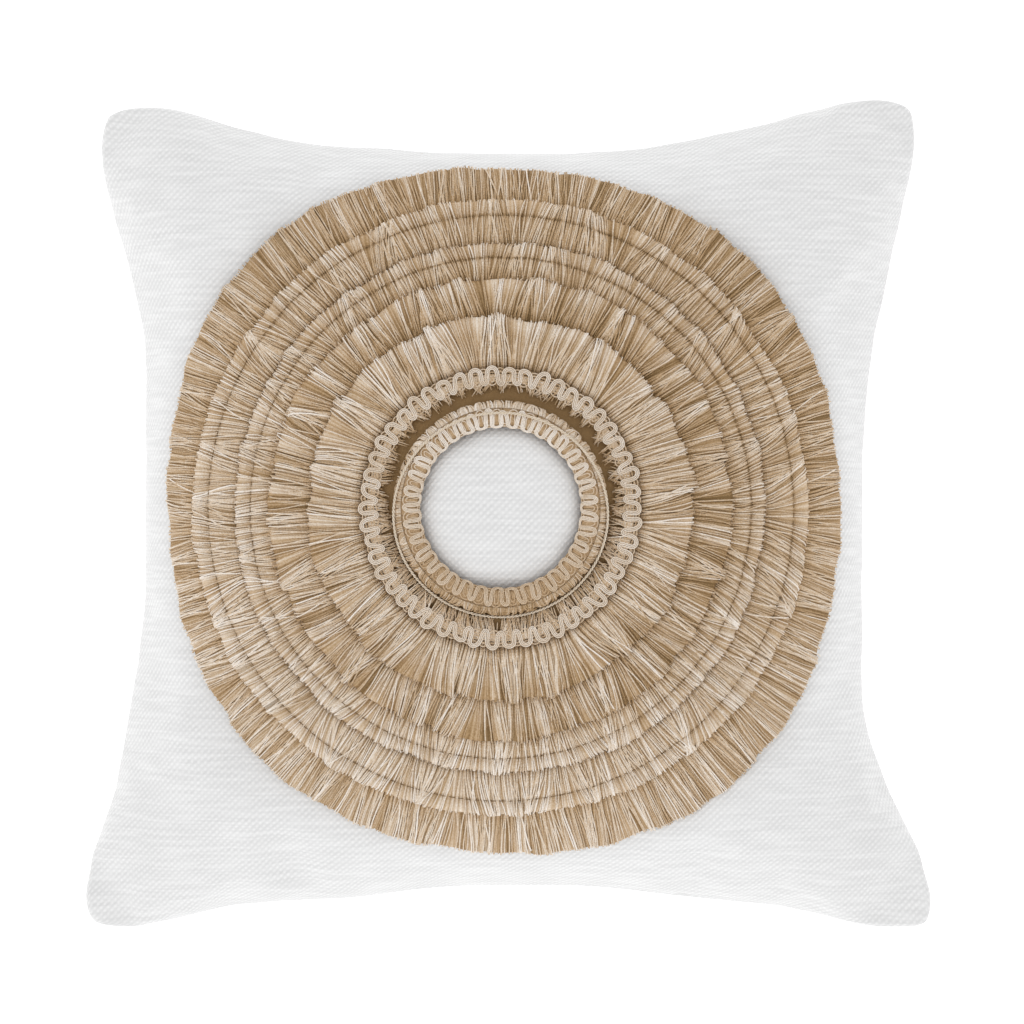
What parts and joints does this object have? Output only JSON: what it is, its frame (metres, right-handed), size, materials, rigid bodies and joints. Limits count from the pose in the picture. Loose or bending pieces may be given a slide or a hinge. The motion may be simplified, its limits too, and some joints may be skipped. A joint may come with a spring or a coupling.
{
  "type": "decorative cushion",
  "caption": "Square white cotton scatter cushion with a round medallion of jute fringe tiers and gimp braid on its front and a coil zip in its bottom seam.",
  "frame": {"origin": "on the plane the cushion lies on, under the middle of its bounding box", "axes": "+Z out of the decorated front, +Y to the top edge, -Y to the bottom seam with the zip, +X to the right seen from the front"},
  "size_m": [0.4272, 0.4173, 0.1477],
  "materials": {
    "cover_cloth": "matte",
    "seam_thread": "matte",
    "insert_ticking": "matte",
    "fibre_fill": "matte",
    "jute_felt": "matte",
    "jute_heading": "matte",
    "jute_fringe": "matte",
    "jute_gimp": "matte",
    "jute_stitching": "matte",
    "rim_cord": "matte",
    "zip_tape": "matte",
    "zip_coil": "satin",
    "zip_metal": "gloss"
  },
  "bodies": {
    "cushion": {"front_panel": "cover_cloth", "back_panel": "cover_cloth", "seam_thread": "seam_thread", "insert_casing_front": "insert_ticking", "insert_casing_back": "insert_ticking", "insert_fill": "fibre_fill", "medallion_backing": "jute_felt", "fringe_header_1": "jute_heading", "fringe_header_2": "jute_heading", "fringe_header_3": "jute_heading", "fringe_header_4": "jute_heading", "fringe_header_5": "jute_heading", "fringe_tier_1": "jute_fringe", "fringe_tier_2": "jute_fringe", "fringe_tier_3": "jute_fringe", "fringe_tier_4": "jute_fringe", "fringe_tier_5": "jute_fringe", "stitch_line_2": "jute_stitching", "stitch_line_3": "jute_stitching", "gimp_outer": "jute_gimp", "gimp_inner": "jute_gimp", "rim_roll": "jute_felt", "rim_thread": "rim_cord", "zip_tape_front": "zip_tape", "zip_tape_back": "zip_tape", "zip_coil_front": "zip_coil", "zip_coil_back": "zip_coil", "zip_top_stop": "zip_metal", "zip_bottom_stop": "zip_metal"},
    "zip_slider": {"zip_slider": "zip_metal"},
    "zip_pull": {"zip_pull": "zip_metal"}
  },
  "joints": [
    {"name": "zip_slide", "type": "slide", "parent": "cushion", "child": "zip_slider", "axis": [-1, 0, 0], "range_m": [0, 0.23]},
    {"name": "pull_hinge", "type": "hinge", "parent": "zip_slider", "child": "zip_pull", "pos_m": [0.118, -0.1858, 0.062], "axis": [0, 0, 1], "range_deg": [0, 170]}
  ]
}
